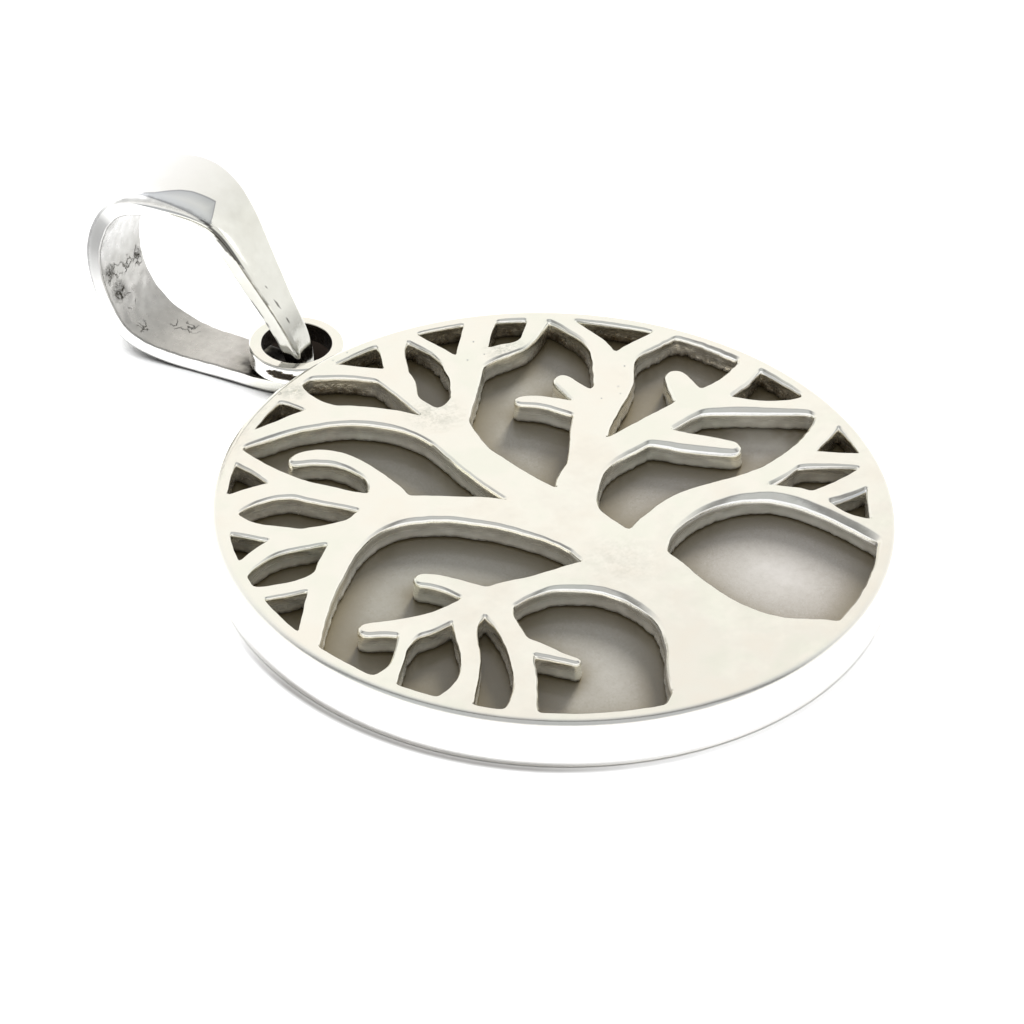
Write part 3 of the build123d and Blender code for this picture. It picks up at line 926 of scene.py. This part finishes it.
def table_material():
    n = Nodes(bpy.data.materials.new("white table"))
    tone = n.ramp(n.noise(30.0, 2.0, 0.5), (0.3, 0.90), (0.7, 0.92))
    # Soft shade where something is close to the table, less of it along the disc.
    past_rim = n.math("MULTIPLY_ADD", n.vector("LENGTH"), 1 / MM, 0.5 - DISC_R)
    near = n.add("ShaderNodeAmbientOcclusion", samples=4, Distance=2.2 * MM).outputs["AO"]
    near = n.math("MULTIPLY", n.ramp(near, (0.18, 1.0), (0.50, 0.0)),
                  n.ramp(past_rim, (0.45, 0.2), (0.70, 0.4), (1.0, 1.0)))
    tone = n.mix(near, tone, (0.13, 0.125, 0.12))
    # The soft shadow along the disc's foot: strongest at the front left, thin at the front right.
    foot = n.ramp(past_rim, (0.42, 0.45), (0.50, 0.80), (0.56, 1.0), (0.66, 1.0), (0.76, 0.62),
                  (0.86, 0.22), (0.96, 0.0))
    foot = n.math("MULTIPLY", foot, 0.9)
    for degrees, stops in FOOT_SHADES:
        a = math.radians(degrees)
        toward = n.vector("DOT_PRODUCT", (math.cos(a) / (DISC_R * MM), math.sin(a) / (DISC_R * MM), 0))
        foot = n.math("MULTIPLY", foot, n.ramp(toward, *stops))
    tone = n.mix(foot, tone, (0.24, 0.23, 0.22))
    # The deep shade that the eye ring casts on the table, where the shadows of its two rims overlap.
    reach = n.math("MAXIMUM", *(n.reach(x, y, 0, EYE_HOLE_R) for x, y in EYE_SHADES))
    shade = n.ramp(n.math("MULTIPLY", reach, 0.8), (0.84, 1.0), (1.0, 0.0))
    return n.finish(Base_Color=n.mix(shade, tone, (0.013, 0.010, 0.008)), Roughness=0.6,
                    Specular_IOR_Level=0.0)


# World, light and camera

def build_studio():
    """A world that is white at the horizon, with a dark band a little on the camera's side of straight up."""
    n = Nodes(bpy.data.worlds.new("studio"), "Generated")
    far = n.math("ADD", n.vector("DOT_PRODUCT", (0.3536, 0.3536, 0.0)), 0.5)
    horizon = n.add("ShaderNodeMapRange", interpolation_type="SMOOTHSTEP", Value=n.split(n.coord)["Z"],
                    **{"From Min": 0.44, "From Max": 0.24}).outputs["Result"]
    sky = n.mix(horizon, n.ramp(far, *STUDIO_TONES), HORIZON_TONE)
    n.put(sky, n.tree.nodes["Background"].inputs["Color"])
    return n.owner


def collection(name, members):
    group = bpy.data.collections.new(name)
    for obj in members:
        group.objects.link(obj)
    return group


def area_light(name, toward, distance, size, power, lit):
    data = bpy.data.lights.new(name, "AREA")
    data.shape = "DISK"
    data.size = size
    data.energy = power
    obj = bpy.data.objects.new(name, data)
    scene.collection.objects.link(obj)
    obj.light_linking.receiver_collection = lit
    way = Vector(toward).normalized()
    obj.location = way * distance
    obj.rotation_mode = "QUATERNION"
    obj.rotation_quaternion = way.to_track_quat("Z", "Y")
    return obj


def add_camera():
    forward = Vector(VIEW_WAY).normalized()
    right = Vector(VIEW_RIGHT).normalized()
    up = right.cross(forward)
    roll = math.radians(VIEW_ROLL)
    data = bpy.data.cameras.new("camera")
    data.lens = VIEW_LENS
    data.sensor_width = 36.0
    data.shift_x = (PHOTO_SIZE / 2 - DISC_IN_PHOTO[0]) / PHOTO_SIZE
    data.shift_y = (DISC_IN_PHOTO[1] - PHOTO_SIZE / 2) / PHOTO_SIZE
    data.clip_start = 0.01
    data.clip_end = 10.0
    camera = bpy.data.objects.new("camera", data)
    scene.collection.objects.link(camera)
    basis = Matrix((right * math.cos(roll) + up * math.sin(roll),
                    up * math.cos(roll) - right * math.sin(roll), -forward)).transposed()
    place = Vector((0, 0, TOP_Z * MM)) - forward * (VIEW_DISTANCE * MM)
    camera.matrix_world = Matrix.Translation(place) @ basis.to_4x4()
    return camera


# The pieces of the pendant

silver = silver_material()
tree = build_tree_frame()
eye = build_eye_ring()
for obj in (tree, eye):
    obj.data.materials.append(silver)
    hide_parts("tree_frame")
    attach(obj, "root")

bail = build_bail()
bail.data.materials.append(bail_material())
bail.data.materials.append(bail_inside_material())
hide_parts("bail")
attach(bail, "root")

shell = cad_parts["shell_disc"]
shell.data.materials.clear()
shell.data.materials.append(shell_material())

# What it is shown on and in

bpy.ops.mesh.primitive_plane_add(size=0.5, location=(0, 0, 0))
floor = bpy.context.object
floor.name = "table"
floor.data.materials.append(table_material())

scene = bpy.context.scene
scene.view_settings.view_transform = "Standard"
scene.view_settings.look = "None"
scene.world = build_studio()

# The pendant's light comes low from behind and a little from the right, and it isn't mirrored. The
# table has a light of its own, from above.
low = math.radians(20)
key = area_light("key", (0.87 * math.cos(low), 0.49 * math.cos(low), math.sin(low)), distance=0.6,
                 size=0.16, power=10.6, lit=collection("jewel", (tree, eye, bail, shell)))
key.visible_glossy = False
area_light("table light", (0, 0, 1), distance=1.2, size=1.8, power=31.5,
           lit=collection("table only", (floor,)))

scene.camera = add_camera()
